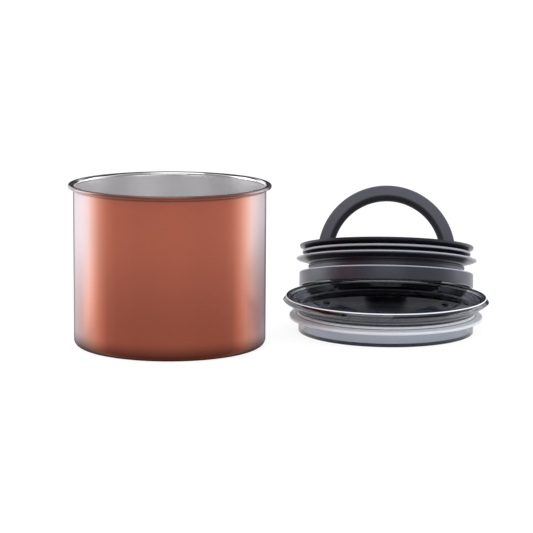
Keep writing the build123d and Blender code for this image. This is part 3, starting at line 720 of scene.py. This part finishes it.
def buildGuideBand():
    size = guideRing
    inner = size["radius"] - size["wall"]
    webTop = size["web"] + size["webThickness"]
    corners = [
        (inner, 0, size["soft"]),
        (size["radius"], 0, size["edge"]),
        (size["radius"], size["height"] - size["line"], 0),
        # the band's top edge gets a painted highlight
        (size["radius"], size["height"], size["edge"], 1),
        (size["radius"] - size["line"], size["height"], 0),
        (inner, size["height"], size["soft"]),
        (inner, webTop, size["soft"]),
        (size["webHole"], webTop, size["soft"]),
        (size["webHole"], size["web"], size["soft"]),
        (inner, size["web"], size["soft"]),
    ]
    values = {"Steps Round": size["steps"], "Finish": finishes["band"]}
    piece = turned("guideBand", corners, innerPlace, values, closed=True)
    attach(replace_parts(piece, "guide_ring"), "inner_lid")


# Wiper: a sleeve round the cup with a fin at its top, a short lip and a long lip that droops
wiper = {
    "cup": 50.2, "flange": 1.8, "flangeThickness": 1.0, "top": 27.9, "neckTop": 12.6, "sleeve": 2.5,
    "fin": 59.575, "finEdge": 0.9, "finDepth": 3.4, "finRise": 1.7, "finHighlight": 0.5,
    "lip": 57.575, "lipDepth": 5.0, "lipEdge": 0.7, "lipHeight": 2.6, "lipHighlight": 0.95,
    "reach": 61.775, "depth": 9.4, "edge": 0.9, "droop": 2.1, "gap": 1.2,
    "seatRound": 0.1, "flangeRound": 0.15, "footRound": 0.3, "rootRound": 0.6, "foldRound": 0.5,
    "neckRound": 0.4, "lipRound": 0.35, "tipRound": 0.3, "finRounds": (0.5, 0.6), "steps": 288,
}


def buildWiper():
    size = wiper
    sleeve = size["cup"] + size["sleeve"]
    foot = sleeve + size["lipEdge"]
    flange = size["cup"] + size["flange"]
    flangeLow = size["top"] - size["flangeThickness"]
    tip = size["top"] - size["depth"]
    step = size["neckTop"] + 2 * size["edge"]
    lipTop = size["top"] - size["lipDepth"] + size["lipEdge"]
    finUnder = size["top"] - size["finDepth"]
    # the lip tips and the fin get a painted highlight, partly the real translucency of thin silicone
    corners = [
        (size["cup"], size["neckTop"], size["seatRound"]),
        (foot, size["neckTop"], size["footRound"]),
        (foot, size["neckTop"] + size["edge"], size["footRound"]),
        (sleeve, step, size["footRound"]),
        (sleeve, step + size["gap"], size["rootRound"]),
        (size["reach"] - size["edge"] / 4, tip - size["edge"] / 2, size["tipRound"], 1),
        (size["reach"], tip + size["edge"] / 4, size["tipRound"], 1),
        (sleeve, tip + size["droop"], size["foldRound"]),
        (foot, lipTop - size["lipHeight"], size["neckRound"]),
        (size["lip"], lipTop - size["lipHeight"] / 2, size["lipRound"], size["lipHighlight"]),
        (size["lip"], lipTop, size["lipRound"], size["lipHighlight"]),
        (sleeve, finUnder - size["lipEdge"], size["foldRound"]),
        (foot, finUnder, size["neckRound"]),
        (size["fin"] - size["finEdge"] / 2, finUnder + size["finRise"], size["finRounds"][0], size["finHighlight"]),
        (size["fin"], size["top"], size["finRounds"][1], size["finHighlight"]),
        (flange, size["top"], size["flangeRound"]),
        (flange, flangeLow, size["seatRound"]),
        (size["cup"], flangeLow, size["seatRound"]),
    ]
    values = {"Steps Round": size["steps"], "Finish": finishes["wiper"]}
    piece = turned("wiperGasket", corners, innerPlace, values, closed=True)
    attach(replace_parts(piece, "wiper_gasket"), "inner_lid")


buildGuideBand()
buildWiper()
print("stage: inner lid")

# Handle: half a ring turned about the lid's front axis, joined to two hubs
handle = {
    "radius": 47.0, "width": 10.5, "thickness": 8.0, "face": 6.4, "ridge": 2.6, "soft": 0.9,
    "crease": 0.5, "creaseShade": 0.2, "bevelShade": (0.30, 0.78),
    "hub": 5.6, "hubSoft": 0.54, "hubInside": 2.0, "bore": 2.5, "steps": 144, "hubSteps": 96,
}


def useBoolean(piece, other, operation):
    cut = piece.modifiers.new("join", "BOOLEAN")
    cut.operation, cut.solver, cut.object = operation, "EXACT", other
    settle(piece)
    bpy.data.objects.remove(other)


def capEnds(mesh):
    # closes the half ring's two cut ends
    shell = bmesh.new()
    shell.from_mesh(mesh)
    bmesh.ops.holes_fill(shell, edges=[edge for edge in shell.edges if edge.is_boundary])
    shell.to_mesh(mesh)
    shell.free()
    outwards(mesh)


def buildHandle():
    size = handle
    inner = size["radius"] - size["width"]
    outer = size["radius"]
    half = size["thickness"] / 2
    faceEdge = Vector((outer - size["face"], half))
    lip = Vector((inner, size["ridge"] / 2))
    shaded = [faceEdge.lerp(lip, share) for share in size["bevelShade"]]
    # painted shade darkens the inner face and the bevels, less at the creases between them
    corners = [
        (inner, 0, 0, 1),
        (inner, -lip.y, size["crease"], size["creaseShade"]),
        *[(spot.x, -spot.y, 0, 1) for spot in reversed(shaded)],
        (faceEdge.x, -half, size["crease"]),
        (outer, -half, size["soft"]),
        (outer, half, size["soft"]),
        (faceEdge.x, half, size["crease"]),
        *[(spot.x, spot.y, 0, 1) for spot in shaded],
        (inner, lip.y, size["crease"], size["creaseShade"]),
    ]
    values = {"Steps Round": size["steps"], "Turn": pi, "Finish": finishes["grey"]}
    rise = Matrix.Translation((0, 0, axleHeight))
    arch = turned("handleArch", corners, Matrix.Rotation(pi / 2, 4, "X"), values, closed=True)
    capEnds(arch.data)
    hubOuter = (outer * outer - size["hub"] * size["hub"]) ** 0.5
    across = Matrix.Rotation(pi / 2, 4, "Y")
    values = {"Steps Round": size["hubSteps"], "Finish": finishes["grey"]}
    for side in (1, -1):
        low, high = sorted((side * inner, side * hubOuter))
        corners = [
            (size["hubInside"], low, 0),
            (size["hub"], low, size["hubSoft"]),
            (size["hub"], high, size["hubSoft"]),
            (size["hubInside"], high, 0),
        ]
        useBoolean(arch, turned("hub", corners, across, values, closed=True), "UNION")
    reach = outer + size["bore"]
    corners = [(0, -reach, 0), (size["bore"], -reach, 0), (size["bore"], reach, 0), (0, reach, 0)]
    useBoolean(arch, turned("drill", corners, across, values), "DIFFERENCE")
    arch.data.transform(innerPlace @ rise)
    arch.data.set_sharp_from_angle(angle=smoothAngle)
    arch.name = "handleGrip"
    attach(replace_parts(arch, "handle"), "bail")


buildHandle()
print("stage: handle")

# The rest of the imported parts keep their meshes, with their edges shaded soft
keptFinishes = {
    "inner_lid_cup": "black", "bearing_cap_left": "black", "bearing_cap_right": "black",
    "valve_guard": "black", "ring_screws": "blackScrew", "bearing_screws": "smallSteel",
    "handle_pins": "smallSteel", "cam_axle": "smallSteel", "spring_washer": "smallSteel",
    "valve_spring": "smallSteel", "valve_stem": "smallSteel", "valve_nut": "smallSteel",
    "valve_follower": "pale", "valve_disc": "pale", "valve_guide": "pale", "valve_seal": "valveMilky",
}


def makeSoftTree():
    tree, given = newTree("softShading", [
        ("Geometry", "Geometry", None), ("Angle", "Float", smoothAngle), ("Finish", "Material", None),
    ])
    welded = addNode(tree, "GeometryNodeMergeByDistance", {"Geometry": given["Geometry"], "Distance": packedWeld})
    folded = tree.nodes.new("GeometryNodeInputMeshEdgeAngle").outputs[0]
    flat = addNode(
        tree, "FunctionNodeCompare", {0: folded, 1: given["Angle"]}, data_type="FLOAT", operation="LESS_THAN",
    )
    faces = addNode(tree, "GeometryNodeSetShadeSmooth", {"Geometry": welded.outputs[0], "Shade Smooth": True})
    edges = addNode(
        tree, "GeometryNodeSetShadeSmooth", {"Geometry": faces.outputs[0], "Shade Smooth": flat.outputs[0]},
        domain="EDGE",
    )
    endTree(tree, edges.outputs[0], given["Finish"])
    return tree


softTree = makeSoftTree()
for node, finish in keptFinishes.items():
    part = frame["nodes"][node]
    part.data.materials.clear()
    part.data.materials.append(finishes[finish])
    addTree(part, softTree, {"Finish": finishes[finish]})
print("stage: kept parts dressed")


# Studio: pale floor, white surroundings and soft boxes
studio = {
    "floor": 12.0,
    "floorFixed": {"Base Color": (0.62, 0.625, 0.64, 1), "Roughness": 0.9, "Specular IOR Level": 0.0},
    "plainShare": 0.74, "plainPower": 1.18, "throughShare": 0.04,  # the floor as the eye meets it
    "mirrorShare": 0.5, "mirrorPower": (0.10, 1.36),  # the floor in reflections, in front and behind
    "nearFrom": (0.06, 0.60), "near": (0.34, 1.22),  # and how much of it is left close to the part
    "room": (0.30, 1.0), "ambient": 1.10, "turnsBright": (-0.34, 0.22), "tint": (0.97, 0.975, 1.0),
    # where the room is dark in reflections: low behind, from some way off, and overhead behind
    "dark": 0.05, "darkWay": (0.15, 1.0), "darkEdge": (0.90, 0.955), "darkFrom": (0.25, 0.45),
    "darkLow": (0.25, 0.5), "darkHigh": (0.30, 0.50), "darkBack": (0.06, 0.16),
    "lamps": (  # name, place, aim, size and radiance
        ("leftBox", (-1.10, 0.42, 0.45), (0, 0, 0.05), (0.80, 1.1), 1.5),
        ("rightBox", (1.10, 0.55, 0.45), (0.05, 0.03, 0.05), (0.75, 1.1), 0.9),
        ("topBox", (-0.10, -0.30, 1.35), (0.06, 0.05, 0.05), (1.0, 0.9), 1.2),
        ("frontFill", (0.10, -1.50, 0.75), (0.06, 0.03, 0.04), (1.3, 0.6), 0.8),
    ),
}


def roomGlow(tree, way, power):
    # along the ground the room is dim in front and bright from the sides on, with a dark strip straight behind
    level = reckonVector(tree, "MULTIPLY", way, (1, 1, 0))["Vector"]
    flat = reckonVector(tree, "NORMALIZE", level)["Vector"]
    bright = mapRange(tree, partsOf(tree, flat)["Y"], studio["turnsBright"], power)
    straight = Vector((*studio["darkWay"], 0)).normalized()
    behind = reckonVector(tree, "DOT_PRODUCT", flat, straight)["Value"]
    return bright, mapRange(tree, behind, studio["darkEdge"], (0, 1))


def buildFloor():
    half = studio["floor"] / 2
    mesh = bpy.data.meshes.new("floor")
    mesh.from_pydata([(-half, -half, 0), (half, -half, 0), (half, half, 0), (-half, half, 0)], [], [(0, 1, 2, 3)])
    floor = addToScene("floor", mesh)
    material, tree, shader = newFinish("paleFloor", studio["floorFixed"])
    path = tree.nodes.new("ShaderNodeLightPath").outputs
    spot = objectSpot(tree)
    # in reflections the floor glows as the room behind it does, and less near the part, as a painted shadow round
    # it
    bright, behind = roomGlow(tree, spot, studio["mirrorPower"])
    reach = reckonVector(tree, "LENGTH", spot)["Value"]
    dark = reckon(tree, "MULTIPLY", behind, mapRange(tree, reach, studio["darkFrom"], (0, 1)))
    side = partsOf(tree, reckonVector(tree, "NORMALIZE", spot)["Vector"])["Y"]
    foot = mapRange(tree, side, studio["turnsBright"], studio["near"])
    near = mapRange(tree, reach, studio["nearFrom"], (foot, 1.0))
    room = blendValue(tree, dark, reckon(tree, "MULTIPLY", bright, near), studio["dark"])
    # seen straight, or a little through clear plastic, it is plain and pale and keeps its shadow
    through = reckon(tree, "MULTIPLY", path["Is Transmission Ray"], studio["throughShare"])
    plain = reckon(tree, "MAXIMUM", path["Is Camera Ray"], through)
    power = blendValue(tree, plain, room, studio["plainPower"])
    bounced = reckon(tree, "GREATER_THAN", path["Is Glossy Ray"], path["Is Transmission Ray"])
    glossy = reckon(tree, "MULTIPLY", bounced, blendValue(tree, dark, studio["mirrorShare"], 1.0))
    share = blendValue(tree, plain, glossy, studio["plainShare"])
    glow = addNode(tree, "ShaderNodeEmission", {"Color": (1, 1, 1, 1), "Strength": power})
    mixed = addNode(tree, "ShaderNodeMixShader", {0: share, 1: shader.outputs[0], 2: glow.outputs[0]})
    tree.links.new(mixed.outputs[0], tree.nodes["Material Output"].inputs["Surface"])
    mesh.materials.append(material)


def buildWorld():
    world = bpy.data.worlds.new("studio")
    bpy.context.scene.world = world
    world.use_nodes = True
    tree = world.node_tree
    path = tree.nodes.new("ShaderNodeLightPath").outputs
    way = tree.nodes.new("ShaderNodeTexCoord").outputs["Generated"]
    bright, behind = roomGlow(tree, way, studio["room"])
    parts = partsOf(tree, way)
    # the dark strip ends above, and overhead the back is dark again: the rim's roll shows it as a thin line
    low = mapRange(tree, parts["Z"], studio["darkLow"], (1, 0))
    high = mapRange(tree, parts["Z"], studio["darkHigh"], (0, 1))
    back = mapRange(tree, parts["Y"], studio["darkBack"], (0, 1))
    dark = reckon(tree, "MAXIMUM", reckon(tree, "MULTIPLY", behind, low), reckon(tree, "MULTIPLY", high, back))
    room = blendValue(tree, dark, bright, studio["dark"])
    shown = reckon(tree, "MAXIMUM", path["Is Camera Ray"], path["Is Transmission Ray"])
    mirror = blendValue(tree, path["Is Glossy Ray"], studio["ambient"], room)
    power = blendValue(tree, shown, mirror, 1.0)
    tint = blendColour(tree, shown, studio["tint"], (1, 1, 1))
    ground = tree.nodes["Background"]
    tree.links.new(tint, ground.inputs["Color"])
    tree.links.new(power, ground.inputs["Strength"])


def buildLamps():
    for name, place, target, size, radiance in studio["lamps"]:
        lamp = bpy.data.lights.new(name, "AREA")
        lamp.shape = "RECTANGLE"
        lamp.size, lamp.size_y = size
        lamp.energy = radiance * pi * size[0] * size[1]
        box = addToScene(name, lamp)
        box.location = place
        box.rotation_euler = (Vector(target) - Vector(place)).to_track_quat("-Z", "Y").to_euler()


# Camera where the photograph was taken from
view = {
    "place": (0.060686, -1.400, 0.28091), "down": radians(9.386), "roll": radians(0.371),
    "focalPixels": 2259.786, "imagePixels": 533, "sensor": 36.0, "clip": (0.05, 20),
}


def buildCamera():
    camera = bpy.data.cameras.new("photo")
    camera.sensor_width = view["sensor"]
    camera.lens = view["focalPixels"] / view["imagePixels"] * view["sensor"]
    camera.clip_start, camera.clip_end = view["clip"]
    right = Vector((1, 0, 0))
    up = Vector((0, sin(view["down"]), cos(view["down"])))
    ahead = Vector((0, cos(view["down"]), -sin(view["down"])))
    turn, tilt = cos(view["roll"]), sin(view["roll"])
    right, up = right * turn + up * tilt, up * turn - right * tilt
    holder = addToScene("photo", camera)
    holder.matrix_world = Matrix.Translation(view["place"]) @ Matrix((right, up, -ahead)).transposed().to_4x4()
    bpy.context.scene.camera = holder


buildFloor()
buildWorld()
buildLamps()
buildCamera()
bpy.context.scene.view_settings.view_transform = "Standard"
print("stage: studio")
